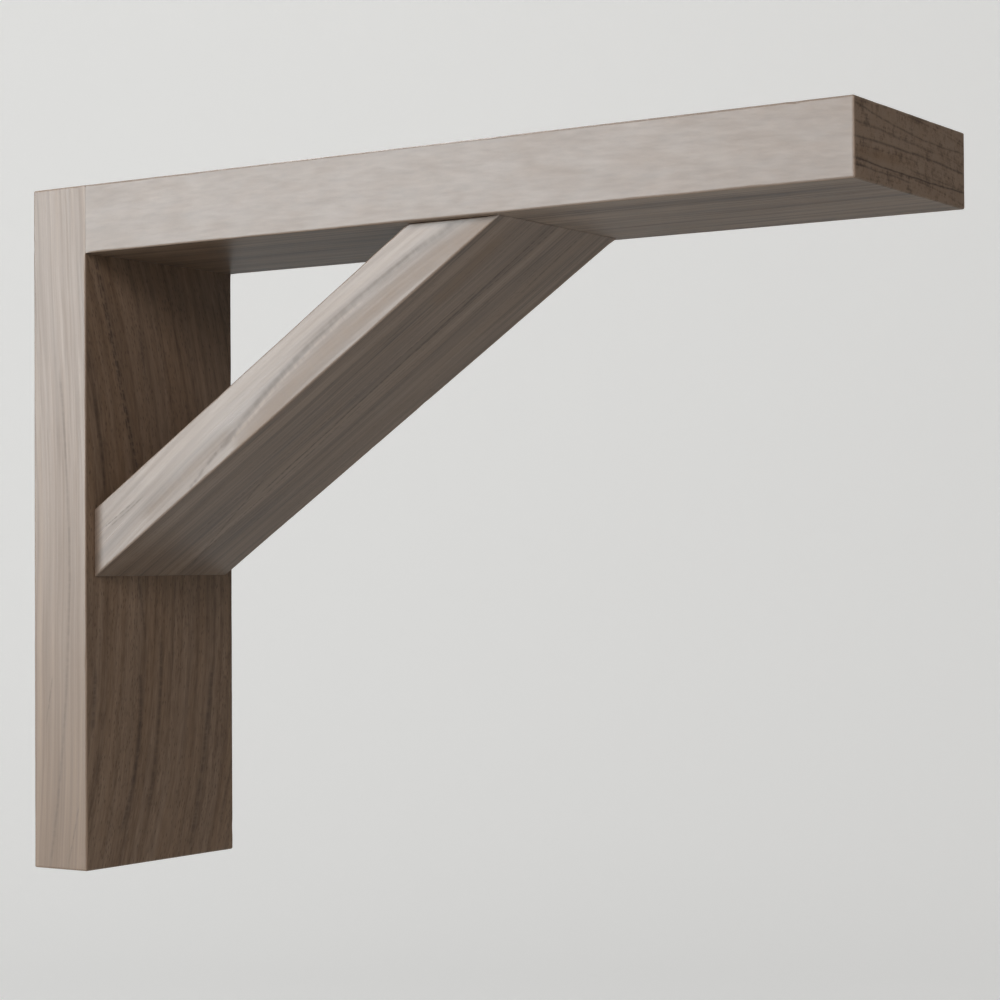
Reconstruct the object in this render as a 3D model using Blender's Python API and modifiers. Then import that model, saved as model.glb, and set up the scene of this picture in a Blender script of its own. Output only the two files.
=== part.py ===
"""Wooden bar bracket: an upright wall plate, a level arm that carries the bar top, and a diagonal brace.

Three boards are butted together. The arm stands out of the top of the plate, flush with its upper end,
and the brace props it from the plate's face. The origin is the middle of the plate's back face, which lies
on the wall. +X points out of the wall along the arm, +Z is up, and Y runs across the boards. All sizes are
in metres.
"""

import math

import bmesh
import bpy
from mathutils import Vector

# Driving dimensions: the plate and the arm
BOARD_WIDTH = 0.0889  # of both boards, across the wall
PLATE_HEIGHT = 0.2667
PLATE_THICKNESS = 0.0275
ARM_PROJECTION = 0.3556  # from the wall to the arm's outer end
ARM_THICKNESS = 0.0267

# Driving dimensions: the brace
BRACE_RUN = 0.1903  # under the arm, from the plate's face to the heel of the brace
BRACE_DROP = 0.1262  # down the plate, from the arm's underside to the toe of the brace
BRACE_THICKNESS = 0.0221
BRACE_SETBACK = 0.0046  # of each side of the brace from the boards' sides

# Driving dimensions: edges and joints
EASED_RADIUS = 0.0006  # the edges that stay in reach are lightly rounded over
EASED_SEGMENTS = 3
JOINT_GAP = 0.0003  # between two faces that meet

# Finish: linear colour and roughness of the bare, sanded wood
WOOD_COLOURS = {
    "wall_plate": (0.36, 0.29, 0.23, 1.0),
    "arm": (0.38, 0.31, 0.25, 1.0),
    "brace": (0.37, 0.30, 0.24, 1.0),
}
WOOD_ROUGHNESS = 0.62

# Places that follow from the sizes
PLATE_TOP = PLATE_HEIGHT / 2
ARM_UNDERSIDE = PLATE_TOP - ARM_THICKNESS


def clear_scene():
    """Removes whatever the scene holds."""
    for old in list(bpy.data.objects):
        bpy.data.objects.remove(old, do_unlink=True)


def wood(name):
    """The material of one board."""
    material = bpy.data.materials.new(f"{name}_wood")
    material.use_nodes = True
    shader = material.node_tree.nodes["Principled BSDF"]
    shader.inputs["Base Color"].default_value = WOOD_COLOURS[name]
    shader.inputs["Roughness"].default_value = WOOD_ROUGHNESS
    shader.inputs["Metallic"].default_value = 0.0
    return material


def finished_board(name, mesh, is_square, bracket, holder):
    """A board made from its sharp-edged mesh: its edges are eased and it hangs on the holder.

    is_square(start, end) says of an edge that it closes a joint and so stays square.
    """
    weights = mesh.attributes.new("bevel_weight_edge", "FLOAT", "EDGE")
    for edge in mesh.edges:
        start, end = (mesh.vertices[corner].co for corner in edge.vertices)
        weights.data[edge.index].value = 0.0 if is_square(start, end) else 1.0
    mesh.materials.append(wood(name))
    mesh.shade_smooth()
    board = bpy.data.objects.new(name, mesh)
    bracket.objects.link(board)
    board.parent = holder
    easing = board.modifiers.new("eased_edges", "BEVEL")
    easing.width = EASED_RADIUS
    easing.segments = EASED_SEGMENTS
    easing.limit_method = "WEIGHT"
    easing.harden_normals = True
    return board


def box_mesh(name, size):
    """A box of this size about its own centre."""
    shape = bmesh.new()
    bmesh.ops.create_cube(shape, size=1.0)
    bmesh.ops.scale(shape, vec=size, verts=shape.verts)
    mesh = bpy.data.meshes.new(name)
    shape.to_mesh(mesh)
    shape.free()
    return mesh


def wall_plate(bracket, holder):
    """The upright board: its back face lies on the wall, and it reaches the full height."""

    def is_square(start, end):
        return False

    size = Vector((PLATE_THICKNESS, BOARD_WIDTH, PLATE_HEIGHT))
    plate = finished_board("wall_plate", box_mesh("wall_plate", size), is_square, bracket, holder)
    plate.location = (PLATE_THICKNESS / 2, 0.0, 0.0)
    return plate


def arm(bracket, holder):
    """The level board: it butts against the plate's face, flush with the plate's upper end."""

    def is_square(start, end):
        """The inner end fits tight against the plate, and only its upper edge is eased."""
        at_inner_end = start.x < 0 and end.x < 0
        on_top = start.z > 0 and end.z > 0
        return at_inner_end and not on_top

    inner_end = PLATE_THICKNESS + JOINT_GAP
    size = Vector((ARM_PROJECTION - inner_end, BOARD_WIDTH, ARM_THICKNESS))
    level = finished_board("arm", box_mesh("arm", size), is_square, bracket, holder)
    level.location = ((inner_end + ARM_PROJECTION) / 2, 0.0, PLATE_TOP - ARM_THICKNESS / 2)
    return level


def brace_mesh(pitch):
    """The brace lying along +X, with its toe at the origin and both ends cut to a slant.

    The foot is cut plumb, to stand against the plate, and the head is cut level, to lie under the arm.
    """
    lower_edge = math.hypot(BRACE_RUN, BRACE_DROP)
    half_width = BOARD_WIDTH / 2 - BRACE_SETBACK
    shape = bmesh.new()
    bmesh.ops.create_cube(shape, size=2.0)
    for corner in shape.verts:
        rise = BRACE_THICKNESS if corner.co.z > 0 else 0.0
        if corner.co.x < 0:
            along = rise * math.tan(pitch) + JOINT_GAP / math.cos(pitch)
        else:
            along = lower_edge - rise / math.tan(pitch) - JOINT_GAP / math.sin(pitch)
        corner.co = Vector((along, corner.co.y * half_width, rise))
    mesh = bpy.data.meshes.new("brace")
    shape.to_mesh(mesh)
    shape.free()
    return mesh


def brace(bracket, holder):
    """The diagonal board, from its toe on the plate up to its heel under the arm."""

    def is_square(start, end):
        """Both slanted ends fit tight, so only the edges that run along the brace are eased."""
        return abs(end.x - start.x) < BRACE_RUN / 2

    pitch = math.atan2(BRACE_DROP, BRACE_RUN)
    strut = finished_board("brace", brace_mesh(pitch), is_square, bracket, holder)
    strut.location = (PLATE_THICKNESS, 0.0, ARM_UNDERSIDE - BRACE_DROP)
    strut.rotation_euler = (0.0, -pitch, 0.0)
    return strut


def build():
    """Makes the whole bracket in a collection of its own."""
    clear_scene()
    bracket = bpy.data.collections.new("bar_bracket")
    bpy.context.scene.collection.children.link(bracket)
    holder = bpy.data.objects.new("wall_mount", None)
    bracket.objects.link(holder)
    wall_plate(bracket, holder)
    arm(bracket, holder)
    brace(bracket, holder)


build()
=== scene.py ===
# %% [markdown]
# # A wooden bar bracket, in three boards
#
# The bracket is screwed to a wall and carries the overhang of a bar top. It is three sanded hardwood boards:
# an upright wall plate, a level arm, and a diagonal brace whose ends are cut to stand flat on the other two.
# The solids of the three boards come from the frame, which fixes every size and place. This lesson gives them
# what a solid can't carry: softened edges with small knocks, and wood that has rings, pores and colour.

# %% Load the frame
import math

import bmesh
import bpy
from mathutils import Euler, Matrix, Vector, noise


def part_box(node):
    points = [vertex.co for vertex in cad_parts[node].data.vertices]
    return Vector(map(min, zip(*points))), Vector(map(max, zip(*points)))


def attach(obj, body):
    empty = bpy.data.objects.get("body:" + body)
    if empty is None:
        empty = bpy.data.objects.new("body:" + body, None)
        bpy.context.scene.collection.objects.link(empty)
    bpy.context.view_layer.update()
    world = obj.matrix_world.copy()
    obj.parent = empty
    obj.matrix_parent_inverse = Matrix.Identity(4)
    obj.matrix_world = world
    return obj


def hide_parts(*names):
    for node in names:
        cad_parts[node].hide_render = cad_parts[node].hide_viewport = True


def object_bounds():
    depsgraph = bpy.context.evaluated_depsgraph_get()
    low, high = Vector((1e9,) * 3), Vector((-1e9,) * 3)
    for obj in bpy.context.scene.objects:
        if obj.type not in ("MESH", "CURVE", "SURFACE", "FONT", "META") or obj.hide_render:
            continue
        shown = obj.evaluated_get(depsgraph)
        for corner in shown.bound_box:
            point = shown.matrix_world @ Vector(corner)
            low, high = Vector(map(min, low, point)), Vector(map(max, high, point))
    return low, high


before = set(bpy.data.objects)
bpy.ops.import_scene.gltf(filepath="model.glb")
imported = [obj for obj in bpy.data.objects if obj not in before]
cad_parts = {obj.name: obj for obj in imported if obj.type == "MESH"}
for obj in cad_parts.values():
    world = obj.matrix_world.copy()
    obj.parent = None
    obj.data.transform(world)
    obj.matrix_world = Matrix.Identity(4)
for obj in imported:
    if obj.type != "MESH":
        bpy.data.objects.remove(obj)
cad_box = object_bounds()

MM = 0.001
size_of_frame = (cad_box[1] - cad_box[0]) / MM
print("the frame's box in mm:", [round(side, 1) for side in size_of_frame])

# %% [markdown]
# ## The camera
#
# The photograph looks slightly up at the bracket from the lit side, with the arm pointing to the right and
# towards the lens. Its place, its lens and its three angles come from fitting the straight edges of the
# boards, so the picture is framed by them alone and needs no shift. A camera could also be aimed by a
# constraint, but three plain angles keep the small roll that the photograph has.

# %% Place the camera
CAMERA_PLACE = (0.6958, -0.7688, -0.0148)
CAMERA_TURN = math.radians(33.30)  # to the left of straight ahead, which is +Y
CAMERA_PITCH = math.radians(1.43)  # above the horizon
CAMERA_ROLL = math.radians(-0.37)
CAMERA_LENS = 90.13  # mm
SENSOR_WIDTH = 36.0  # mm
SEEN_FROM = 0.01  # metres from the lens
SEEN_TO = 50.0

camera_data = bpy.data.cameras.new("camera")
camera_data.lens = CAMERA_LENS
camera_data.sensor_width = SENSOR_WIDTH
camera_data.clip_start = SEEN_FROM
camera_data.clip_end = SEEN_TO
camera = bpy.data.objects.new("camera", camera_data)
bpy.context.scene.collection.objects.link(camera)
aim = Euler((math.pi / 2 + CAMERA_PITCH, 0.0, CAMERA_TURN)).to_matrix().to_4x4()
camera.matrix_world = Matrix.Translation(CAMERA_PLACE) @ aim @ Matrix.Rotation(CAMERA_ROLL, 4, "Z")
bpy.context.scene.camera = camera
print("camera to the arm's end:", round((Vector(CAMERA_PLACE) - cad_box[1]).length, 3), "m")

# %% [markdown]
# ## Reading the three boards from the frame
#
# Each board is described the way a joiner would: its length along the grain, its width across the wall, its
# thickness, and where its middle lies. The plate and the arm are read from their boxes. The brace leans, so
# its box gives only the toe on the plate and the heel under the arm. The line between these two is its lower
# face, and the corner that is furthest from that line gives its thickness. The solids keep a gap where they
# meet. Real boards are pulled tight by their screws, so here each joint closes to a hairline.

# %% Measure the boards
HAIRLINE = 0.03 * MM  # left between two boards that are pulled tight

plate_low, plate_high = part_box("wall_plate")
arm_low, arm_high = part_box("arm")
brace_low, brace_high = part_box("brace")

plate_face = plate_high.x
arm_underside = arm_low.z
brace_toe = Vector((brace_low.x, 0.0, brace_low.z))
brace_heel = Vector((brace_high.x, 0.0, brace_high.z))
brace_pitch = math.atan2(brace_heel.z - brace_toe.z, brace_heel.x - brace_toe.x)
brace_up = Vector((-math.sin(brace_pitch), 0.0, math.cos(brace_pitch)))
brace_corners = [corner.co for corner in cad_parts["brace"].data.vertices]
brace_thickness = max((corner - brace_toe).dot(brace_up) for corner in brace_corners)
print("the brace leans at", round(math.degrees(brace_pitch), 2), "degrees and is",
      round(brace_thickness / MM, 2), "mm thick")

# %% [markdown]
# ## How a board's mesh is made
#
# A Bevel modifier rounds every edge alike, and that evenness is what makes a computer's board look like one.
# A real edge is broken by hand with sandpaper, so its roundness wanders, and it picks up small knocks.
#
# So each board starts as a cube and is sliced into a net: a line every few millimetres over the faces, and
# several close to each edge. Then every point of the net moves onto its rounded place. The rule is short:
# shrink the box by the edge's radius, find the nearest point of the shrunken box, and step from there towards
# the net's point by the radius. On a flat face nothing changes, along an edge it gives a quarter circle, and
# at a corner part of a ball. The radius is a function of the place, so it can wander, grow at a knock, and
# vanish at a tight joint.

# %% Slice a block into a net
FACE_STEP = 2.2 * MM  # between two lines of the net
EDGE_RADIUS = 0.75 * MM
EDGE_LINES = (0.12, 0.3, 0.5, 0.75, 1.0, 1.3, 2.0)  # distances of the lines near an edge, in edge radii


def net_lines(length):
    """Where the net's lines lie along a side of this length, measured from its middle."""
    half = length / 2
    near = [half - share * EDGE_RADIUS for share in EDGE_LINES]
    count = max(2, round(2 * near[-1] / FACE_STEP))
    inner = [near[-1] - 2 * near[-1] * step / count for step in range(1, count)]
    return near + inner + [-place for place in near]


def sliced_block(size):
    """A block about its own middle, sliced by the lines of the net along its three axes."""
    block = bmesh.new()
    bmesh.ops.create_cube(block, size=1.0)
    bmesh.ops.scale(block, vec=size, verts=block.verts)
    for axis in range(3):
        across = Vector([1.0 if i == axis else 0.0 for i in range(3)])
        for place in net_lines(size[axis]):
            everything = block.verts[:] + block.edges[:] + block.faces[:]
            bmesh.ops.bisect_plane(block, geom=everything, plane_co=across * place, plane_no=across)
    return block


# %% Give the edges their wandering radius
HAND_WANDER = 0.25  # of the radius, as the hand moves along the edge
HAND_PERIOD = 18 * MM
GRIT_WANDER = 0.10  # of the radius, as the sandpaper catches
GRIT_PERIOD = 4 * MM
KNOCK_PERIOD = 7 * MM
KNOCK_FROM = 0.45  # noise above this is a knock
KNOCK_GROWTH = 1.2  # of the radius, at the middle of a hard knock
LARGEST_GROWTH = 0.95 * EDGE_LINES[-1]  # keeps every rounding within the lines near the edge
NO_STEP = 1e-9  # shorter than this, a step has no direction


def wander(place, period, seed):
    """A smooth value from -1 to 1 that changes over about this distance."""
    return noise.noise(Vector(place) / period + Vector((seed, -seed, 2.0 * seed)))


def worn_radius(place, seed):
    """The radius that sandpaper and small knocks have left here."""
    by_hand = HAND_WANDER * wander(place, HAND_PERIOD, seed)
    by_grit = GRIT_WANDER * wander(place, GRIT_PERIOD, seed + 5.0)
    knock = max(0.0, wander(place, KNOCK_PERIOD, seed + 9.0) - KNOCK_FROM) / (1.0 - KNOCK_FROM)
    return EDGE_RADIUS * min(1.0 + by_hand + by_grit + KNOCK_GROWTH * knock, LARGEST_GROWTH)


def eased(place, half, radius):
    """A net point moved onto the rounded block, and the way that the surface faces there."""
    inner = Vector([max(-h + radius, min(h - radius, p)) for p, h in zip(place, half)])
    step = place - inner
    if step.length < NO_STEP:
        return place.copy(), Vector((0.0, 0.0, 0.0))
    facing = step.normalized()
    return inner + facing * radius, facing


print("the edges' radius is", round(EDGE_RADIUS / MM, 2), "mm, and up to",
      round(EDGE_RADIUS * LARGEST_GROWTH / MM, 2), "mm at a knock")

# %% [markdown]
# Each point of the net also keeps three values for the materials to read later: how far it is towards an
# edge, how much it faces sideways, and how much it faces along the grain. They are stored as attributes of
# the mesh. A material could find edges with a Bevel node instead, but that costs render time and is lost
# when the model is exported, while an attribute goes wherever the mesh goes.

# %% Make a board
EDGE_REACH = 2.2 * MM  # how far the tone of a worn edge runs into the faces
SQUAREST = 0.02 * MM  # the radius that even the tightest edge keeps
SANDING_DIP = 0.05 * MM  # the deepest that sanding has hollowed a face
SANDING_PERIOD = 45 * MM
CREASE = math.radians(50)  # faces that meet at more than this are shaded apart


def edge_share(place, half):
    """1 on an edge of the block, falling to 0 at the edge's reach."""
    gaps = sorted(h - abs(p) for p, h in zip(place, half))
    return max(0.0, 1.0 - gaps[1] / EDGE_REACH)


def board(name, size, tightness, seed, cut=None):
    """A board along its own X axis, eased and worn.

    tightness(place) says from 0 to 1 how square an edge stays at a joint, and cut(place) slants the ends.
    """
    half = size / 2
    block = sliced_block(size)
    values = {"edge": [], "side": [], "end": []}
    for corner in block.verts:
        place = corner.co.copy()
        looseness = 1.0 - tightness(place)
        near_edge = edge_share(place, half)
        rounded, facing = eased(place, half, max(SQUAREST, worn_radius(place, seed) * looseness))
        sanded = 0.5 + 0.5 * wander(place, SANDING_PERIOD, seed + 20.0)
        rounded -= facing * (SANDING_DIP * sanded * (1.0 - near_edge))
        values["edge"].append(near_edge * looseness)
        values["side"].append(abs(facing.y))
        values["end"].append(abs(facing.x))
        corner.co = cut(rounded) if cut else rounded
    mesh = bpy.data.meshes.new(name)
    block.to_mesh(mesh)
    block.free()
    for label, numbers in values.items():
        attribute = mesh.attributes.new(label, "FLOAT", "POINT")
        attribute.data.foreach_set("value", numbers)
    mesh.shade_smooth()
    mesh.set_sharp_from_angle(angle=CREASE)
    made = bpy.data.objects.new(name, mesh)
    bpy.context.scene.collection.objects.link(made)
    print(name, "has", len(mesh.polygons), "faces")
    return made


# %% [markdown]
# ## The wall plate
#
# The plate stands upright, so its mesh, which lies along its own X axis, is turned to hang straight down.
# That way the wood's grain always runs along the board's own X, and one set of wood recipes serves all three
# boards. Its front edges are crisp where the arm's end covers them and eased below.

# %% Make the wall plate
SOFT_START = 3 * MM  # over which an edge passes from square to eased
SEAM_EASE = 0.55  # of the full radius, left along the top of the seam

plate_size = Vector((plate_high.z - plate_low.z, plate_high.y - plate_low.y, plate_high.x - plate_low.x))
arm_depth = arm_high.z - arm_underside


def ramp(value, start, end):
    """0 before start and 1 after end, straight in between."""
    return max(0.0, min(1.0, (value - start) / (end - start)))


def plate_tightness(place):
    """Square along the front edges behind the arm's end. The plate's own X points down, and Z forwards."""
    top = -plate_size.x / 2
    front = plate_size.z / 2
    below_arm = ramp(place.x, top + arm_depth - SOFT_START / 2, top + arm_depth + SOFT_START / 2)
    at_front = ramp(place.z, front - SOFT_START, front - SOFT_START / 2)
    on_top_edge = 1.0 - ramp(place.x, top, top + 2 * EDGE_RADIUS)
    return (1.0 - below_arm) * at_front * (1.0 - SEAM_EASE * on_top_edge)


wall_plate = board("wall_plate_board", plate_size, plate_tightness, seed=3.0)
wall_plate.rotation_euler = (0.0, math.pi / 2, 0.0)
wall_plate.location = (plate_low + plate_high) / 2

# %% [markdown]
# ## The arm
#
# The arm's inner end butts against the plate. Both are flush on the sides and on top, and the joint is so
# tight that the photograph shows it only as a hairline, with a tiny groove across the top where the two
# boards' edges are just broken.

# %% Make the arm
arm_inner = plate_face + HAIRLINE
arm_size = Vector((arm_high.x - arm_inner, arm_high.y - arm_low.y, arm_depth))


def arm_tightness(place):
    """Square around the inner end, except across the top."""
    inner = -arm_size.x / 2
    at_inner_end = 1.0 - ramp(place.x, inner + EDGE_RADIUS, inner + SOFT_START)
    on_top_edge = ramp(place.z, arm_size.z / 2 - 2 * EDGE_RADIUS, arm_size.z / 2)
    return at_inner_end * (1.0 - SEAM_EASE * on_top_edge)


arm = board("arm_board", arm_size, arm_tightness, seed=11.0)
arm.location = ((arm_inner + arm_high.x) / 2, 0.0, (arm_low.z + arm_high.z) / 2)

# %% [markdown]
# ## The brace
#
# The brace is sliced and eased as a square-ended block like the others. Only then are its ends cut: each
# point slides along the grain, by more the nearer it is to an end, until the foot stands plumb against the
# plate and the head lies level under the arm. Cutting last keeps the easing of the long edges true to the
# board's section.
#
# The photograph shows a fine groove around the foot and none along the heel, where the brace's lower face
# meets the arm. So only the heel's edge stays nearly square.

# %% Make the brace
HEEL_TIGHTNESS = 0.9  # how close to square the heel's edge stays

foot_gap = brace_toe.x - plate_face - HAIRLINE
toe = brace_toe - Vector((foot_gap, 0.0, foot_gap * math.tan(brace_pitch)))
lower_run = (arm_underside - HAIRLINE - toe.z) / math.sin(brace_pitch)
brace_size = Vector((lower_run, brace_high.y - brace_low.y, brace_thickness))


def brace_tightness(place):
    """Nearly square along the heel, under the arm. The other edges are all broken, the foot's too."""
    head = brace_size.x / 2
    lower_face = -brace_size.z / 2
    at_head = ramp(place.x, head - SOFT_START, head - SOFT_START / 2)
    above_heel = ramp(place.z, lower_face + EDGE_RADIUS, lower_face + 3 * EDGE_RADIUS)
    return HEEL_TIGHTNESS * at_head * (1.0 - above_heel)


def brace_cut(place):
    """Slides a point along the grain to its place between the plumb foot and the level head."""
    rise = place.z + brace_size.z / 2
    foot = rise * math.tan(brace_pitch)
    head = lower_run - rise / math.tan(brace_pitch)
    share = place.x / brace_size.x + 0.5
    return Vector((foot + (head - foot) * share, place.y, place.z))


brace = board("brace_board", brace_size, brace_tightness, seed=23.0, cut=brace_cut)
brace.rotation_euler = (0.0, -brace_pitch, 0.0)
brace.location = toe + brace_up * brace_size.z / 2

# %% [markdown]
# ## Wood, as shared recipes
#
# Grain isn't paint on a face. It is a solid: year rings around a pith, cut through by the saw. So the recipes
# work on the place inside the board, in millimetres, and neighbouring faces agree along their edge by
# themselves. A picture wrapped round each face could look as rich, but it would break at every edge.
#
# Each effect is a node group with named sockets, built once. All three boards use the same groups, each with
# its own numbers, as three boards of one kind of tree would.


# %% Helpers for node trees
def add(tree, kind, inputs=None, **settings):
    """Adds a node, sets its properties, and fills its inputs with numbers or links."""
    made = tree.nodes.new(kind)
    for name, value in settings.items():
        setattr(made, name, value)
    for name, value in (inputs or {}).items():
        if isinstance(value, bpy.types.NodeSocket):
            tree.links.new(value, made.inputs[name])
        else:
            made.inputs[name].default_value = value
    return made


def maths(tree, operation, *values):
    """The result of one step of arithmetic."""
    return add(tree, "ShaderNodeMath", dict(enumerate(values)), operation=operation).outputs[0]


def product(tree, first, *others):
    """All these values, multiplied."""
    for other in others:
        first = maths(tree, "MULTIPLY", first, other)
    return first


def vector_maths(tree, operation, *values):
    """The result of one step of arithmetic on vectors."""
    return add(tree, "ShaderNodeVectorMath", dict(enumerate(values)), operation=operation).outputs[0]


def parts_of(tree, vector):
    """The X, Y and Z of a vector."""
    return add(tree, "ShaderNodeSeparateXYZ", {0: vector}).outputs


def vector_of(tree, x=0.0, y=0.0, z=0.0):
    """A vector with these three parts."""
    return add(tree, "ShaderNodeCombineXYZ", {"X": x, "Y": y, "Z": z}).outputs[0]


# %% Helpers for values and noise
NOISE_LOW = 0.3  # nearly all of a noise's values lie between these two
NOISE_HIGH = 0.7


def between(tree, value, start, end, low=0.0, high=1.0):
    """value, read smoothly from the range start to end into the range low to high."""
    inputs = {0: value, 1: start, 2: end, 3: low, 4: high}
    return add(tree, "ShaderNodeMapRange", inputs, interpolation_type="SMOOTHSTEP").outputs[0]


def around_zero(tree, value, share):
    """A value of 0 to 1, moved to lie around zero and scaled by a share."""
    return product(tree, maths(tree, "SUBTRACT", value, 0.5), share)


def blended(tree, share, first, second):
    """A mix of two colours."""
    return add(tree, "ShaderNodeMix", {0: share, 6: first, 7: second}, data_type="RGBA").outputs[2]


def noise_at(tree, place, detail, roughness=0.5):
    """Noise read at a place: first as a value, then as a colour."""
    inputs = {"Vector": place, "Scale": 1.0, "Detail": detail, "Roughness": roughness}
    return add(tree, "ShaderNodeTexNoise", inputs).outputs


def noise_along(tree, distance, detail):
    """Noise read along a line."""
    inputs = {"W": distance, "Scale": 1.0, "Detail": detail}
    return add(tree, "ShaderNodeTexNoise", inputs, noise_dimensions="1D").outputs[0]


# %% Helpers for groups
def new_group(name, inputs, outputs):
    """An empty node group with these named sockets, its inner entry and its inner exit."""
    group = bpy.data.node_groups.new(name, "ShaderNodeTree")
    for label, kind, value in inputs:
        socket = group.interface.new_socket(label, in_out="INPUT", socket_type=f"NodeSocket{kind}")
        if value is not None:
            socket.default_value = value
    for label, kind in outputs:
        group.interface.new_socket(label, in_out="OUTPUT", socket_type=f"NodeSocket{kind}")
    entry = group.nodes.new("NodeGroupInput")
    leave = group.nodes.new("NodeGroupOutput")
    print("group", name, "gives", ", ".join(label for label, kind in outputs))
    return group, entry.outputs, leave.inputs


def outputs_of(tree, group, **values):
    """The outputs of a group placed in a tree. A socket's name is given with _ for each space."""
    inputs = {name.replace("_", " "): value for name, value in values.items()}
    return add(tree, "ShaderNodeGroup", inputs, node_tree=group).outputs


# %% [markdown]
# ### Where a point lies in the tree
#
# The first group turns a board's own coordinates into millimetres in the tree it was sawn from. A trunk is
# never straight, so the fibres bow along the board and waver a little on the way. The wide faces and the
# narrow sides cut the same bent rings at different slants, so the bow acts across the board on the one and
# through it on the other. Everything that follows reads this place, and so rings, pores and streaks all bend
# together.

# %% The place in the tree
SWAY_SCALE = (0.012, 0.010, 0.010)  # per mm, so the sway turns about every 100 mm
SWAY_DETAIL = 2.0
SWAY_ROUGHNESS = 0.45
SWAY_SPREAD = 4.0  # noise strays only a quarter from its middle, and this makes it a full sway

tree_place, given, result = new_group(
    "tree_place",
    [("Place", "Vector", None), ("Side", "Float", 0.0), ("Bow", "Float", 0.001),
     ("Bow Beside", "Float", 0.001), ("Bow Middle", "Float", 0.0), ("Waver", "Float", 2.0),
     ("Seed", "Float", 0.0)],
    [("Fibre", "Vector")])
axes = parts_of(tree_place, given["Place"])
from_middle = maths(tree_place, "SUBTRACT", axes[0], given["Bow Middle"])
squared = product(tree_place, from_middle, from_middle)
on_flats = maths(tree_place, "SUBTRACT", 1.0, given["Side"])
bow_across = product(tree_place, squared, given["Bow"], on_flats)
bow_through = product(tree_place, squared, given["Bow Beside"], given["Side"])
seeds = vector_of(tree_place, y=given["Seed"])
slow = vector_maths(tree_place, "MULTIPLY_ADD", given["Place"], SWAY_SCALE, seeds)
sway = parts_of(tree_place, noise_at(tree_place, slow, SWAY_DETAIL, SWAY_ROUGHNESS)["Color"])
sway_size = product(tree_place, given["Waver"], SWAY_SPREAD)
moved = []
for part, bow in ((1, bow_across), (2, bow_through)):
    bent = maths(tree_place, "ADD", axes[part], bow)
    moved.append(maths(tree_place, "ADD", bent, around_zero(tree_place, sway[part], sway_size)))
tree_place.links.new(vector_of(tree_place, axes[0], *moved), result["Fibre"])

# %% [markdown]
# ### Year rings
#
# A ring is pale where it grew fast in spring and darkens towards autumn, then starts again with a sharp line.
# The distance from the pith, counted in rings, gives this by itself: its whole part numbers the ring and its
# fraction says how late in the year the wood grew. The same count, read by a fine noise, gives the thin
# layers that run along with the rings.

# %% Rings
UNEVEN_SCALE = (0.004, 0.03, 0.03)  # per mm: rings vary quickly across the grain and slowly along it
UNEVEN_DETAIL = 3.0
AUTUMN = 0.30  # of a year's growth, where the wood begins to darken
YEAR_END = 0.94
RING_TONE_STEPS = 0.8  # changes of tone in each ring
LAYER_STEPS = 11.0  # thin layers in each ring
LINE_DETAIL = 2.0

year_rings, given, result = new_group(
    "year_rings",
    [("Fibre", "Vector", None), ("Pith Y", "Float", 60.0), ("Pith Z", "Float", -60.0),
     ("Ring Width", "Float", 4.5), ("Unevenness", "Float", 0.6), ("Seed", "Float", 0.0)],
    [("Late Wood", "Float"), ("Ring Tone", "Float"), ("Layer", "Float")])
axes = parts_of(year_rings, given["Fibre"])
off_y = maths(year_rings, "SUBTRACT", axes[1], given["Pith Y"])
off_z = maths(year_rings, "SUBTRACT", axes[2], given["Pith Z"])
off_pith = vector_of(year_rings, 0.0, off_y, off_z)
distance = add(year_rings, "ShaderNodeVectorMath", {0: off_pith}, operation="LENGTH").outputs["Value"]
seeds = vector_of(year_rings, given["Seed"], 0.0, given["Seed"])
stretched = vector_maths(year_rings, "MULTIPLY_ADD", given["Fibre"], UNEVEN_SCALE, seeds)
uneven = around_zero(year_rings, noise_at(year_rings, stretched, UNEVEN_DETAIL)[0], given["Unevenness"])
rings = maths(year_rings, "ADD", maths(year_rings, "DIVIDE", distance, given["Ring Width"]), uneven)
season = maths(year_rings, "FRACT", rings)
darkening = between(year_rings, season, AUTUMN, YEAR_END)
new_spring = between(year_rings, season, YEAR_END, 1.0, 1.0, 0.0)
year_rings.links.new(product(year_rings, darkening, new_spring), result["Late Wood"])
for label, steps in (("Ring Tone", RING_TONE_STEPS), ("Layer", LAYER_STEPS)):
    counted = maths(year_rings, "MULTIPLY_ADD", rings, steps, given["Seed"])
    tone = noise_along(year_rings, counted, LINE_DETAIL)
    year_rings.links.new(between(year_rings, tone, NOISE_LOW, NOISE_HIGH), result[label])

# %% [markdown]
# ### Fibres, pores and clouds
#
# Three kinds of smaller variation make the wood read as wood. Fibres are long, fine streaks. Pores are the
# cut vessels: short dark dashes where the saw ran along them, dots where it ran across. Clouds are broad,
# soft changes of tone. All three are noise that is stretched along the grain by a different amount.


# %% Fibres
FIBRE_ROUGHNESS = 0.55


def stretched_place(tree, inlets):
    """The fibre's place, shrunk by the wanted length and width, so that noise read there is stretched."""
    along = maths(tree, "DIVIDE", 1.0, inlets["Length"])
    across = maths(tree, "DIVIDE", 1.0, inlets["Width"])
    shrink = vector_of(tree, along, across, across)
    seeds = vector_of(tree, inlets["Seed"], inlets["Seed"], inlets["Seed"])
    return vector_maths(tree, "MULTIPLY_ADD", inlets["Fibre"], shrink, seeds)


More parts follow.
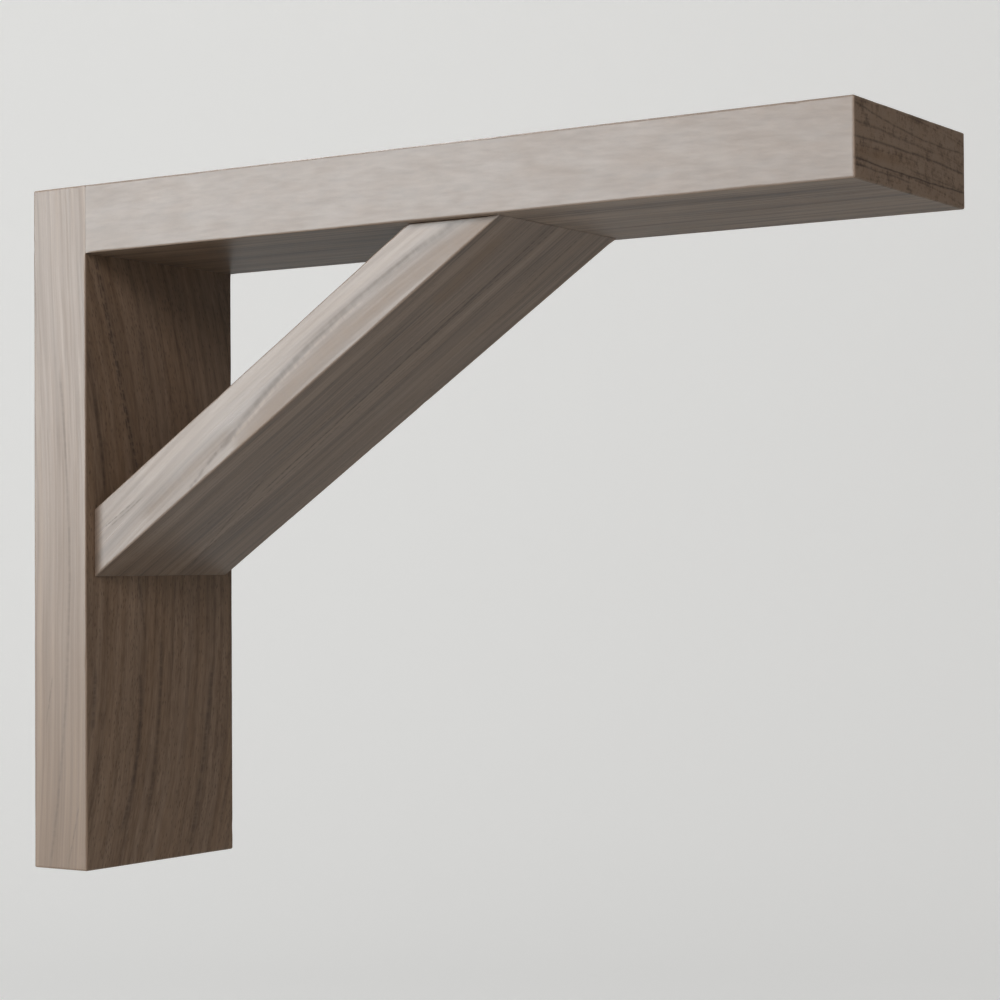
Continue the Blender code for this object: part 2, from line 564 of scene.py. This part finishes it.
fibre_streaks, given, result = new_group(
    "fibre_streaks",
    [("Fibre", "Vector", None), ("Length", "Float", 60.0), ("Width", "Float", 1.2),
     ("Detail", "Float", 3.0), ("Contrast", "Float", 1.0), ("Seed", "Float", 0.0)],
    [("Streak", "Float")])
spread = stretched_place(fibre_streaks, given)
fine = noise_at(fibre_streaks, spread, given["Detail"], FIBRE_ROUGHNESS)[0]
contrasted = maths(fibre_streaks, "ADD", around_zero(fibre_streaks, fine, given["Contrast"]), 0.5)
held = add(fibre_streaks, "ShaderNodeClamp", {0: contrasted}).outputs[0]
fibre_streaks.links.new(held, result["Streak"])

# %% Pores
CROWD_SCALE = (0.02, 0.09, 0.09)  # per mm: pores crowd together in long, narrow patches
CROWD_DETAIL = 2.0
CROWD_LOW = 0.38
CROWD_HIGH = 0.62
SPARSE = 0.25  # of the share of cells that are open
DENSE = 1.75

open_pores, given, result = new_group(
    "open_pores",
    [("Fibre", "Vector", None), ("Length", "Float", 5.0), ("Width", "Float", 0.8),
     ("Size", "Float", 0.22), ("Share", "Float", 0.5), ("Seed", "Float", 0.0)],
    [("Pore", "Float")])
spread = stretched_place(open_pores, given)
cells = add(open_pores, "ShaderNodeTexVoronoi", {"Vector": spread, "Scale": 1.0}).outputs
hollow = between(open_pores, cells["Distance"], 0.0, given["Size"], 1.0, 0.0)
slow = vector_maths(open_pores, "MULTIPLY", given["Fibre"], CROWD_SCALE)
crowd = noise_at(open_pores, slow, CROWD_DETAIL)[0]
density = between(open_pores, crowd, CROWD_LOW, CROWD_HIGH, SPARSE, DENSE)
crowded = product(open_pores, density, given["Share"])
is_open = maths(open_pores, "LESS_THAN", parts_of(open_pores, cells["Color"])[0], crowded)
open_pores.links.new(product(open_pores, hollow, is_open), result["Pore"])

# %% Clouds
CLOUD_DETAIL = 4.0
CLOUD_ROUGHNESS = 0.65

soft_clouds, given, result = new_group(
    "soft_clouds",
    [("Fibre", "Vector", None), ("Length", "Float", 40.0), ("Width", "Float", 15.0), ("Seed", "Float", 0.0)],
    [("Cloud", "Float")])
billow = noise_at(soft_clouds, stretched_place(soft_clouds, given), CLOUD_DETAIL, CLOUD_ROUGHNESS)[0]
soft_clouds.links.new(between(soft_clouds, billow, NOISE_LOW, NOISE_HIGH), result["Cloud"])

# %% [markdown]
# ### Single veins
#
# Besides its rings, a board has a few lines of its own: a mineral vein, a dark streak, a row of open vessels.
# The eye finds these first, so each is placed where the photograph has it. The group draws one line
# along the grain, from its start to its end. It is given its place across the grain, its slope and its bow,
# and it breaks up into dashes.

# %% A vein
WAVER_LENGTH = 14  # mm over which a vein wavers
WAVER_DETAIL = 3.0
WAVER_SPREAD = 2.0  # how far noise is spread, to make a full waver of it
DASH_LENGTH = 3  # mm
DASH_DETAIL = 2.0
GAP_LOW = 0.35  # noise below this is a gap between two dashes
GAP_HIGH = 0.6
FADED = -3.0  # mm within a vein's end, where it has faded out
FULL = 5.0

single_vein, given, result = new_group(
    "single_vein",
    [("Along", "Float", 0.0), ("Across", "Float", 0.0), ("Start", "Float", -1000.0), ("End", "Float", 1000.0),
     ("Place", "Float", 0.0), ("Slope", "Float", 0.0), ("Bow", "Float", 0.0), ("Width", "Float", 0.5),
     ("Waver", "Float", 0.5), ("Breaks", "Float", 0.5), ("Seed", "Float", 0.0)],
    [("Vein", "Float")])
straight = maths(single_vein, "MULTIPLY_ADD", given["Along"], given["Slope"], given["Place"])
square = product(single_vein, given["Along"], given["Along"])
bowed = maths(single_vein, "MULTIPLY_ADD", square, given["Bow"], straight)
walk_at = maths(single_vein, "MULTIPLY_ADD", given["Along"], 1 / WAVER_LENGTH, given["Seed"])
walk = noise_along(single_vein, walk_at, WAVER_DETAIL)
wavering = around_zero(single_vein, walk, product(single_vein, given["Waver"], WAVER_SPREAD))
off_line = maths(single_vein, "SUBTRACT", given["Across"], maths(single_vein, "ADD", bowed, wavering))
in_widths = maths(single_vein, "DIVIDE", off_line, given["Width"])
line = maths(single_vein, "EXPONENT", product(single_vein, in_widths, in_widths, -1.0))
dash_at = maths(single_vein, "MULTIPLY_ADD", given["Along"], 1 / DASH_LENGTH, given["Seed"])
gaps = between(single_vein, noise_along(single_vein, dash_at, DASH_DETAIL), GAP_LOW, GAP_HIGH, 1.0, 0.0)
whole = maths(single_vein, "SUBTRACT", 1.0, product(single_vein, given["Breaks"], gaps))
begins = between(single_vein, maths(single_vein, "SUBTRACT", given["Along"], given["Start"]), FADED, FULL)
ends = between(single_vein, maths(single_vein, "SUBTRACT", given["End"], given["Along"]), FADED, FULL)
single_vein.links.new(product(single_vein, line, whole, begins, ends), result["Vein"])

# %% [markdown]
# ### From values to colour
#
# Two groups finish the recipe. One mixes a dark, a middle and a light brown by the tone that the rings,
# fibres and clouds add up to. It leans them towards tan or grey, mixes in a pale grey as painted sheen where
# the soft box shines on the wood, and then lays the veins, pores and rubbed edges on top. The other turns the
# same values into the height of the surface, because pores are hollows and late wood stands a little proud
# after sanding.

# %% Colour
# Among these inputs, a pale grey colour and its share paint sheen and reflection into the wood's colour.
wood_colour, given, result = new_group(
    "wood_colour",
    [("Tone", "Float", 0.5), ("Warmth", "Float", 0.0), ("Greyness", "Float", 0.0), ("Bleach", "Float", 0.0),
     ("Vein", "Float", 0.0), ("Pore", "Float", 0.0), ("Edge", "Float", 0.0), ("Dark", "Color", None),
     ("Middle", "Color", None), ("Light", "Color", None), ("Tan", "Color", None), ("Grey", "Color", None),
     ("Bleached", "Color", None), ("Vein Colour", "Color", None), ("Edge Colour", "Color", None)],
    [("Color", "Color")])
mixed = given["Dark"]
for begins_at, shade in ((0.0, "Middle"), (0.5, "Light")):
    reached = add(wood_colour, "ShaderNodeMath", {0: given["Tone"], 1: 2.0, 2: -2.0 * begins_at},
                  operation="MULTIPLY_ADD", use_clamp=True).outputs[0]
    mixed = blended(wood_colour, reached, mixed, given[shade])
# The third of these mixes lays on the pale grey of painted sheen.
for share, colour in (("Warmth", "Tan"), ("Greyness", "Grey"), ("Bleach", "Bleached"),
                      ("Vein", "Vein Colour"), ("Pore", "Dark"), ("Edge", "Edge Colour")):
    mixed = blended(wood_colour, given[share], mixed, given[colour])
wood_colour.links.new(mixed, result["Color"])

# %% Height
LATE_WOOD_RISE = 0.25  # of the depth of a pore
STREAK_RISE = 0.45

wood_height, given, result = new_group(
    "wood_height",
    [("Late Wood", "Float", 0.0), ("Streak", "Float", 0.0), ("Pore", "Float", 0.0)],
    [("Height", "Float")])
proud = product(wood_height, given["Late Wood"], LATE_WOOD_RISE)
combed = maths(wood_height, "MULTIPLY_ADD", given["Streak"], STREAK_RISE, proud)
wood_height.links.new(maths(wood_height, "SUBTRACT", combed, given["Pore"]), result["Height"])

# %% [markdown]
# ## A material for each board
#
# One function lays out the common part of a board's material. What differs between the boards is in the
# values they hand over: where the pith was, how the fibres bow, how strong each effect is on the flat faces
# and beside them, and which veins they have. The browns are the same for all three.
#
# A low light rakes the narrow sides, and there its sheen outshines the wood's own colour. Darker patches of
# colour would only show as orange stains in the sheen. So the light and dark of the sides comes mostly from
# their roughness, which spreads the sheen or gathers it. Their colour also has a pale grey mixed in: painted
# sheen, added to the shader's own. The brace's flat faces get a little of it as painted reflection.

# %% The veins of a board
VEIN_SEED_STEP = 7.3  # so that no two veins waver alike
FACES = {  # the mask that shows a face, the axis it lies on, its side of the middle, and its two directions
    "near side": ("side", 1, "LESS_THAN", (0, 2)),
    "upper face": ("flat", 2, "GREATER_THAN", (0, 1)),
    "lower face": ("flat", 2, "LESS_THAN", (0, 1)),
    "far end": ("end", 0, "GREATER_THAN", (1, 2)),
}


def vein(face, start, end, place, slope=0.0, bow=0.0, width=0.45, amount=0.5, waver=0.4, breaks=0.6,
         kind="dark"):
    """A line on one face, in mm along and across the grain.

    Its kind is dark, tan, or tone for a change of tone.
    """
    line = {"Start": start, "End": end, "Place": place, "Slope": slope, "Bow": bow, "Width": width,
            "Waver": waver, "Breaks": breaks}
    return {"face": face, "kind": kind, "amount": amount, "line": line}


def drawn_veins(tree, axes, masks, veins):
    """The board's veins, drawn by the shared group and added up by their kinds."""
    on_face = {}
    totals = {"dark": 0.0, "tone": 0.0, "tan": 0.0}
    for number, values in enumerate(veins):
        face = values["face"]
        mask, axis, beyond, (along, across) = FACES[face]
        if face not in on_face:
            on_face[face] = product(tree, maths(tree, beyond, axes[axis], 0.0), masks[mask])
        line = outputs_of(tree, single_vein, Along=axes[along], Across=axes[across],
                          Seed=VEIN_SEED_STEP * number, **values["line"])["Vein"]
        shade = product(tree, line, on_face[face], values["amount"])
        joined = "ADD" if values["kind"] == "tone" else "MAXIMUM"
        totals[values["kind"]] = maths(tree, joined, shade, totals[values["kind"]])
    return totals


# %% The common part of the wood
def rgb(red, green, blue):
    """A colour in linear light."""
    return (red, green, blue, 1.0)


BROWNS = {
    "Dark": rgb(0.075, 0.047, 0.030),
    "Middle": rgb(0.186, 0.125, 0.083),
    "Light": rgb(0.290, 0.208, 0.148),
    "Tan": rgb(0.215, 0.138, 0.083),
    "Grey": rgb(0.160, 0.132, 0.113),
    # The next colour is painted sheen: a pale grey, mixed in where the soft box shines on the wood.
    "Bleached": rgb(0.265, 0.252, 0.240),
    "Vein_Colour": rgb(0.050, 0.037, 0.030),
    "Edge_Colour": rgb(0.240, 0.175, 0.125),
}
TO_MM = (1000.0, 1000.0, 1000.0)
RELIEF = 0.00004  # metres from the bottom of a pore to the top of the late wood
ROUGHNESS = 0.33
ROUGHER_PORE = 0.12  # added to the roughness in a pore
ROUGHER_END = 0.10
ROUGHER_TAN = 0.17
ROUGHER_VEIN = 0.20
BAND = {"Length": 220.0, "Detail": 2.0, "Contrast": 2.4}
BAND_SEED_STEP = 3.0  # from the seed of the board's streaks
CLOUD_SEEDS = (5.0, 12.0, 19.0)
RUBBED_BY_STREAK = 0.25  # how much the fibres break up the rubbed edge
RUBBED_FROM = 0.8
RUBBED_FULL = 1.2


def wood(name, place, rings, streaks, pores, clouds, tones, veins):
    """A finished board: the shared groups, placed with this board's values, under one shader."""
    material = bpy.data.materials.new(name)
    material.use_nodes = True
    tree = material.node_tree
    shader = tree.nodes["Principled BSDF"]
    own = add(tree, "ShaderNodeTexCoord").outputs["Object"]
    in_mm = vector_maths(tree, "MULTIPLY", own, TO_MM)
    masks = {label: add(tree, "ShaderNodeAttribute", attribute_name=label).outputs["Fac"]
             for label in ("side", "end", "edge")}
    masks["flat"] = maths(tree, "SUBTRACT", maths(tree, "SUBTRACT", 1.0, masks["side"]), masks["end"])
    drawn = drawn_veins(tree, parts_of(tree, in_mm), masks, veins)

    def by_face(label):
        """A value that is one number on the flat faces and another on the sides."""
        flats, beside = tones[label]
        return maths(tree, "MULTIPLY_ADD", masks["side"], beside - flats, flats)

    fibre = outputs_of(tree, tree_place, Place=in_mm, Side=masks["side"], **place)["Fibre"]
    ring = outputs_of(tree, year_rings, Fibre=fibre, **rings)
    streak = outputs_of(tree, fibre_streaks, Fibre=fibre, Length=by_face("Length"), **streaks)["Streak"]
    band = outputs_of(tree, fibre_streaks, Fibre=fibre, Width=tones["Band Width"],
                      Seed=streaks["Seed"] + BAND_SEED_STEP, **BAND)["Streak"]
    pore = product(tree, outputs_of(tree, open_pores, Fibre=fibre, **pores)["Pore"], by_face("Pore"))
    cloud, warm, cool = (outputs_of(tree, soft_clouds, Fibre=fibre, Seed=seed, **clouds)["Cloud"]
                         for seed in CLOUD_SEEDS)

    tone = maths(tree, "SUBTRACT", tones["Base"], product(tree, ring["Late Wood"], by_face("Ring")))
    layers = product(tree, masks["end"], tones["Layer"])
    for share, value in ((by_face("Streak"), streak), (by_face("Band"), band), (by_face("Cloud"), cloud),
                         (tones["Ring Tone"], ring["Ring Tone"]), (layers, ring["Layer"])):
        tone = maths(tree, "ADD", tone, around_zero(tree, value, share))
    tone = maths(tree, "ADD", tone, drawn["tone"])
    tone = maths(tree, "MULTIPLY_ADD", masks["end"], tones["Lighter End"], tone)

    warmth = maths(tree, "MAXIMUM", product(tree, warm, by_face("Warm")), drawn["tan"])
    greyness = product(tree, cool, tones["Grey"])
    frayed = maths(tree, "MULTIPLY_ADD", streak, RUBBED_BY_STREAK, masks["edge"])
    rubbed = product(tree, between(tree, frayed, RUBBED_FROM, RUBBED_FULL), tones["Edge"])
    # The share of pale grey, per face, is painted sheen and painted reflection.
    colour = outputs_of(tree, wood_colour, Tone=tone, Warmth=warmth, Greyness=greyness, Vein=drawn["dark"],
                        Bleach=by_face("Bleach"), Pore=pore, Edge=rubbed, **BROWNS)["Color"]
    tree.links.new(colour, shader.inputs["Base Color"])

    rough = maths(tree, "ADD", around_zero(tree, cloud, by_face("Rough Cloud")), ROUGHNESS)
    rough = maths(tree, "SUBTRACT", rough, around_zero(tree, streak, by_face("Rough Streak")))
    for share, value in ((ROUGHER_PORE, pore), (ROUGHER_END, masks["end"]), (ROUGHER_TAN, drawn["tan"]),
                         (ROUGHER_VEIN, drawn["dark"])):
        rough = maths(tree, "MULTIPLY_ADD", value, share, rough)
    tree.links.new(rough, shader.inputs["Roughness"])

    height = outputs_of(tree, wood_height, Late_Wood=ring["Late Wood"], Streak=streak, Pore=pore)["Height"]
    bump = add(tree, "ShaderNodeBump", {"Height": height, "Distance": RELIEF, "Strength": 1.0})
    tree.links.new(bump.outputs[0], shader.inputs["Normal"])
    print(name, "has", len(tree.nodes), "nodes and", len(veins), "placed veins")
    return material


# %% [markdown]
# ### The plate's wood
#
# The front of the plate shows year rings that sweep down it in a long curve, and a string of open pores along
# its near edge. The near side is plainer, with one thin vein that bows along most of it. Fibres and pores are
# short here, because the saw crossed them at a slant. In each pair of numbers the first is for the flat
# faces and the second for the sides.

# %% Wood for the wall plate
wall_plate.data.materials.append(wood(
    "sanded_plate_wood",
    place={"Bow": 0.00135, "Bow_Beside": 0.0002, "Bow_Middle": 22.0, "Waver": 1.0, "Seed": 1.0},
    rings={"Pith_Y": -287.0, "Pith_Z": -410.0, "Ring_Width": 3.15, "Unevenness": 1.2, "Seed": 4.0},
    streaks={"Width": 1.0, "Detail": 4.0, "Contrast": 2.4, "Seed": 2.0},
    pores={"Length": 2.8, "Width": 0.9, "Size": 0.46, "Share": 0.62, "Seed": 6.0},
    clouds={"Length": 120.0, "Width": 8.0},
    tones={"Base": 0.65, "Ring": (0.20, 0.05), "Ring Tone": 0.20, "Length": (7.0, 110.0),
           "Streak": (0.50, 0.30), "Band": (0.26, 0.16), "Band Width": 6.0, "Cloud": (0.22, 0.10),
           # The pale grey share on the sides is painted sheen.
           "Layer": 0.3, "Lighter End": 0.1, "Warm": (0.45, 0.06), "Grey": 0.16, "Bleach": (0.0, 0.08),
           "Pore": (0.75, 0.06), "Edge": 0.15, "Rough Cloud": (0.05, 0.05), "Rough Streak": (0.05, 0.11)},
    veins=[
        vein("near side", -60, 135, 4.64, 0.0287, -0.00079, width=0.70, amount=0.30, breaks=0.35),
        vein("near side", 58, 76, 5.62, -0.166, width=0.35, amount=0.35),
        vein("near side", 108, 130, 36.8, -0.248, width=0.35, amount=0.35),
        vein("upper face", -106, -22, -8.23, 0.267, -0.00015, width=0.6, amount=0.85, breaks=0.9, waver=0.6),
        vein("upper face", -106, -30, -9.4, 0.267, -0.00015, width=0.45, amount=0.75, breaks=1.0, waver=0.6),
        vein("upper face", -52, -12, -33.33, -0.0148, -0.00275, width=0.8, amount=0.6),
        vein("upper face", -78, -60, 2.64, 0.202, width=0.7, amount=0.5),
        vein("upper face", 20, 45, -17.3, 0.169, width=0.7, amount=0.5),
        vein("upper face", 42, 112, -6.10, 0.220, -0.00217, width=0.9, amount=0.55),
        vein("upper face", 56, 130, 35.25, -0.0136, -0.00098, width=1.1, amount=0.55),
        vein("upper face", 55, 80, -35.4, -0.0687, width=0.9, amount=0.55),
        vein("upper face", 56, 120, -33.5, 0.607, -0.00446, width=1.0, amount=0.6),
        vein("upper face", 96, 122, 73.5, -0.308, width=0.8, amount=0.45),
        vein("upper face", 125, 127, -27.0, width=0.7, amount=0.9, waver=0.0, breaks=0.0),
    ]))

# %% [markdown]
# ### The arm's wood
#
# The arm's near side is nearly blank, with small soft clouds. Its underside has long, straight, even fibres.
# The outer end cuts across the grain and shows the year rings as thin, nearly level curves. Rings by rule
# give that end an even comb of lines, so it is drawn mostly by its layers and by single veins, at the uneven
# distances that the photograph shows.

# %% Wood for the arm
arm.data.materials.append(wood(
    "sanded_arm_wood",
    place={"Bow": 0.0001, "Bow_Beside": 0.0001, "Bow_Middle": -40.0, "Waver": 0.8, "Seed": 12.0},
    rings={"Pith_Y": -13.0, "Pith_Z": -426.1, "Ring_Width": 7.1, "Unevenness": 0.25, "Seed": 13.0},
    streaks={"Width": 1.4, "Detail": 4.0, "Contrast": 2.2, "Seed": 14.0},
    pores={"Length": 2.4, "Width": 0.75, "Size": 0.40, "Share": 0.30, "Seed": 15.0},
    clouds={"Length": 15.0, "Width": 7.0},
    tones={"Base": 0.56, "Ring": (0.24, 0.02), "Ring Tone": 0.06, "Length": (70.0, 8.0),
           "Streak": (1.1, 0.20), "Band": (1.1, 0.05), "Band Width": 4.5, "Cloud": (0.40, 0.10),
           # The pale grey share on the sides is painted sheen.
           "Layer": 0.50, "Lighter End": 0.50, "Warm": (0.35, 0.03), "Grey": 0.12, "Bleach": (0.0, 0.28),
           "Pore": (0.40, 0.05), "Edge": 0.15, "Rough Cloud": (0.05, 0.06), "Rough Streak": (0.05, 0.05)},
    veins=[
        vein("far end", -45, 45, 0.33, -0.0166, -0.00044, width=0.40, amount=0.70, breaks=0.35, waver=0.5),
        vein("far end", -45, 45, -7.69, -0.0107, 0.00026, width=0.32, amount=0.85, breaks=0.25, waver=0.4),
        vein("far end", -45, 0, -9.60, -0.020, width=0.35, amount=0.60, breaks=0.4, waver=0.4),
        vein("far end", -45, 45, 6.59, -0.061, 0.00095, width=0.35, amount=0.60, breaks=0.5, waver=0.5),
        vein("far end", -45, 20, 3.60, -0.040, width=0.45, amount=0.50, breaks=0.5, waver=0.5),
        vein("far end", -5, 45, -5.40, -0.045, width=0.30, amount=0.45, breaks=0.5, waver=0.4),
        vein("far end", -45, -8, -3.80, 0.010, width=2.2, amount=0.60, breaks=0.0, kind="tan"),
        vein("near side", -135, -105, 7.2, 0.01, width=3.0, amount=0.14, breaks=0.2, waver=2.0, kind="tone"),
    ]))

# %% [markdown]
# ### The brace's wood
#
# The brace has the strongest mark of the three boards: a dark streak that climbs its near side and bends over
# near the head, with a pale line along it and a broad tan zone below. They share one slope and one bow, so
# they run together as one figure. The lower face has long fibres with a few dark lines among them.

# %% Wood for the brace
STREAK_SLOPE = 0.4153
STREAK_BOW = -0.00130

brace.data.materials.append(wood(
    "sanded_brace_wood",
    place={"Bow": 0.0001, "Bow_Beside": 0.0004, "Bow_Middle": 120.0, "Waver": 0.8, "Seed": 21.0},
    rings={"Pith_Y": 60.0, "Pith_Z": -240.0, "Ring_Width": 5.0, "Unevenness": 0.9, "Seed": 22.0},
    streaks={"Width": 1.1, "Detail": 4.0, "Contrast": 2.4, "Seed": 23.0},
    pores={"Length": 3.4, "Width": 0.80, "Size": 0.40, "Share": 0.40, "Seed": 24.0},
    clouds={"Length": 60.0, "Width": 9.0},
    tones={"Base": 0.58, "Ring": (0.22, 0.05), "Ring Tone": 0.22, "Length": (70.0, 60.0),
           "Streak": (0.70, 0.26), "Band": (0.60, 0.12), "Band Width": 5.0, "Cloud": (0.20, 0.14),
           # The pale grey share is painted sheen on the sides and painted reflection on the flat faces.
           "Layer": 0.2, "Lighter End": 0.0, "Warm": (0.45, 0.06), "Grey": 0.12, "Bleach": (0.12, 0.26),
           "Pore": (0.45, 0.05), "Edge": 0.15, "Rough Cloud": (0.05, 0.05), "Rough Streak": (0.05, 0.10)},
    veins=[
        vein("near side", 80, 214, -31.2, STREAK_SLOPE, STREAK_BOW, width=1.3, amount=0.42, breaks=0.25,
             waver=0.5),
        vein("near side", 84, 165, -33.0, STREAK_SLOPE, STREAK_BOW, width=0.8, amount=0.60, waver=0.6,
             kind="tone"),
        vein("near side", 85, 228, -38.2, STREAK_SLOPE, STREAK_BOW, width=4.4, amount=-0.35, waver=0.5,
             breaks=0.1, kind="tone"),
        vein("near side", 85, 228, -37.8, STREAK_SLOPE, STREAK_BOW, width=4.6, amount=0.90, waver=0.5,
             breaks=0.1, kind="tan"),
        vein("near side", 58, 100, -20.3, 0.1807, width=0.7, amount=0.40),
        vein("near side", 34, 88, -6.8, 0.0341, width=2.6, amount=0.55, breaks=0.2, kind="tan"),
        vein("near side", 34, 88, -6.8, 0.0341, width=2.6, amount=-0.30, breaks=0.2, kind="tone"),
        vein("near side", 40, 230, 7.5, 0.0, width=4.5, amount=0.22, breaks=0.0, kind="tone"),
        vein("near side", 13, 33, 2.15, -0.0066, width=0.25, amount=0.6),
        vein("near side", 16, 38, 0.9, -0.0066, width=0.22, amount=0.45),
        vein("lower face", 60, 232, 5.25, -0.0489, width=0.6, amount=0.60, breaks=0.45),
        vein("lower face", 150, 232, -2.0, 0.002, width=0.5, amount=0.55, breaks=0.5),
        vein("lower face", 190, 230, 37.4, -0.087, width=0.5, amount=0.45),
        vein("lower face", 6, 70, 12.6, -0.2614, width=0.5, amount=0.45),
        vein("lower face", 0, 120, 9.5, -0.06, width=0.45, amount=0.45, breaks=0.7),
        vein("lower face", 30, 190, -9.0, 0.015, width=0.4, amount=0.42, breaks=0.7),
        vein("lower face", 178, 218, -0.17, -0.1195, width=5.0, amount=0.7, breaks=0.0, kind="tan"),
        vein("lower face", -2, 24, 3.2, 0.167, width=0.5, amount=0.30, kind="tone"),
    ]))

# %% [markdown]
# ## Joining the frame
#
# Each new board rides on the bracket's one body and stands for its solid.

# %% Let the boards ride
for piece, node, finish in ((wall_plate, "wall_plate", "wall_plate_wood"),
                            (arm, "arm", "arm_wood"),
                            (brace, "brace", "brace_wood")):
    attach(piece, "root")
    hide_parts(node)
    print(piece.name, "stands for", node)

# %% [markdown]
# ## The studio
#
# The floor is a pale sheet that rises behind the bracket in one wide curve, as a photographer hangs paper.
# There is no corner in it, so the picture has no line behind the boards. The bracket hangs free above it, as
# its wall would hold it, far enough for its shadow to fall out of sight.
#
# In the photograph the shaded faces mirror surroundings that are darker than pale paper. So the paper is lit
# dimly, as the wood should see it, and a glow that only the camera sees makes it pale in the picture. The
# room past the paper's edges, which shows only from other sides, glows for the camera in the same way.

# %% Hang the paper
FLOOR_HEIGHT = -0.45
SWEEP_START = 1.6  # how far behind the bracket the paper begins to rise
SWEEP_RADIUS = 1.6
SWEEP_TOP = 3.2
SWEEP_STEPS = 24
PAPER_HALF_WIDTH = 5.0
PAPER_FRONT = -3.5

profile = [(PAPER_FRONT, FLOOR_HEIGHT)]
for step in range(SWEEP_STEPS + 1):
    angle = math.pi / 2 * step / SWEEP_STEPS
    depth = SWEEP_START + SWEEP_RADIUS * math.sin(angle)
    profile.append((depth, FLOOR_HEIGHT + SWEEP_RADIUS * (1 - math.cos(angle))))
profile.append((SWEEP_START + SWEEP_RADIUS, SWEEP_TOP))
sheet = bmesh.new()
rows = []
for depth, height in profile:
    rows.append([sheet.verts.new((x, depth, height)) for x in (-PAPER_HALF_WIDTH, PAPER_HALF_WIDTH)])
for near, far in zip(rows, rows[1:]):
    sheet.faces.new((near[0], near[1], far[1], far[0]))
sheet_mesh = bpy.data.meshes.new("studio_paper")
sheet.to_mesh(sheet_mesh)
sheet.free()
sheet_mesh.shade_smooth()
floor = bpy.data.objects.new("studio_paper", sheet_mesh)
bpy.context.scene.collection.objects.link(floor)
floor.rotation_euler = (0.0, 0.0, CAMERA_TURN)
print("the paper has", len(sheet_mesh.polygons), "strips and lies", -FLOOR_HEIGHT,
      "m below the bracket's middle")

# %% Make the paper pale
PAPER_COLOUR = rgb(0.715, 0.71, 0.69)
PAPER_ROUGHNESS = 0.9
GLOW_COLOUR = rgb(1.0, 0.99, 0.97)
PAPER_GLOW = 0.42  # added only where the camera looks straight at the paper

paper_look = bpy.data.materials.new("pale_paper")
paper_look.use_nodes = True
paper_tree = paper_look.node_tree
paper_shader = paper_tree.nodes["Principled BSDF"]
paper_shader.inputs["Base Color"].default_value = PAPER_COLOUR
paper_shader.inputs["Roughness"].default_value = PAPER_ROUGHNESS
paper_shader.inputs["Emission Color"].default_value = GLOW_COLOUR
seen_directly = add(paper_tree, "ShaderNodeLightPath").outputs["Is Camera Ray"]
paper_tree.links.new(product(paper_tree, seen_directly, PAPER_GLOW), paper_shader.inputs["Emission Strength"])
floor.data.materials.append(paper_look)
print("the paper reflects", PAPER_COLOUR[1], "of the green light and glows at", PAPER_GLOW)

# %% [markdown]
# ## The light
#
# The photograph has one large soft box at the left, nearly level with the bracket. It rakes the near sides,
# where its sheen bleaches the brown to a pale grey, and it leaves every face that looks away from the wall in
# shade. A smaller box above the camera fills that shade, a faint warm one beside it reaches under the boards,
# and the room adds a little. The directions, widths and strengths were found by lighting the bracket from one
# direction at a time and adding the results up until they matched the photograph's faces.
#
# One more box hangs close, high on the wall's side. Of all that the camera sees, only the eased upper edges
# turn towards it, and it draws the fine pale line along them. It is small, so that it doesn't light the
# paper. A single sun would be simpler, but its shadows would be hard.

# %% Hang the lights
BRACKET_MIDDLE = Vector((0.14, -0.02, 0.03))
STUDIO_DISTANCE = 3.0
CLOSE_DISTANCE = 0.6


def soft_box(name, azimuth, elevation, wide, high, radiance, tint, distance=STUDIO_DISTANCE):
    """A soft box that spans these degrees, seen from the bracket. Azimuth turns from -Y towards -X."""
    turn = math.radians(azimuth)
    rise = math.radians(elevation)
    toward = Vector((-math.sin(turn) * math.cos(rise), -math.cos(turn) * math.cos(rise), math.sin(rise)))
    light = bpy.data.lights.new(name, "AREA")
    light.shape = "RECTANGLE"
    light.size = 2 * distance * math.tan(math.radians(wide / 2))
    light.size_y = 2 * distance * math.tan(math.radians(high / 2))
    light.energy = math.pi * light.size * light.size_y * radiance
    light.color = tint
    box = bpy.data.objects.new(name, light)
    bpy.context.scene.collection.objects.link(box)
    box.location = BRACKET_MIDDLE + toward * distance
    box.rotation_euler = toward.to_track_quat("Z", "Y").to_euler()
    print(name, "spans", round(light.size, 2), "by", round(light.size_y, 2), "m and gives",
          round(light.energy, 1), "W")


soft_box("key_box", azimuth=35, elevation=10, wide=36, high=24, radiance=8.5, tint=(0.94, 1.0, 1.03))
soft_box("fill_box", azimuth=-25, elevation=25, wide=20, high=20, radiance=11.0, tint=(1.05, 0.98, 0.96))
soft_box("low_fill_box", azimuth=-45, elevation=5, wide=20, high=20, radiance=1.6, tint=(1.1, 1.0, 0.8))
soft_box("edge_box", azimuth=90, elevation=64, wide=20, high=20, radiance=15.0, tint=(1.0, 1.0, 1.0),
         distance=CLOSE_DISTANCE)

# %% Light the room
ROOM_COLOUR = rgb(0.93, 1.0, 1.08)
ROOM_LIGHT = 0.07
ROOM_GLOW = 0.62  # added only where the camera looks straight past the paper

world = bpy.data.worlds.new("studio")
world.use_nodes = True
room = world.node_tree.nodes["Background"]
room.inputs["Color"].default_value = ROOM_COLOUR
seen_directly = add(world.node_tree, "ShaderNodeLightPath").outputs["Is Camera Ray"]
room_strength = maths(world.node_tree, "MULTIPLY_ADD", seen_directly, ROOM_GLOW, ROOM_LIGHT)
world.node_tree.links.new(room_strength, room.inputs["Strength"])
bpy.context.scene.world = world
bpy.context.scene.view_settings.view_transform = "Standard"
print("the room lights the bracket at", ROOM_LIGHT, "and looks", round(ROOM_LIGHT + ROOM_GLOW, 2), "bright")
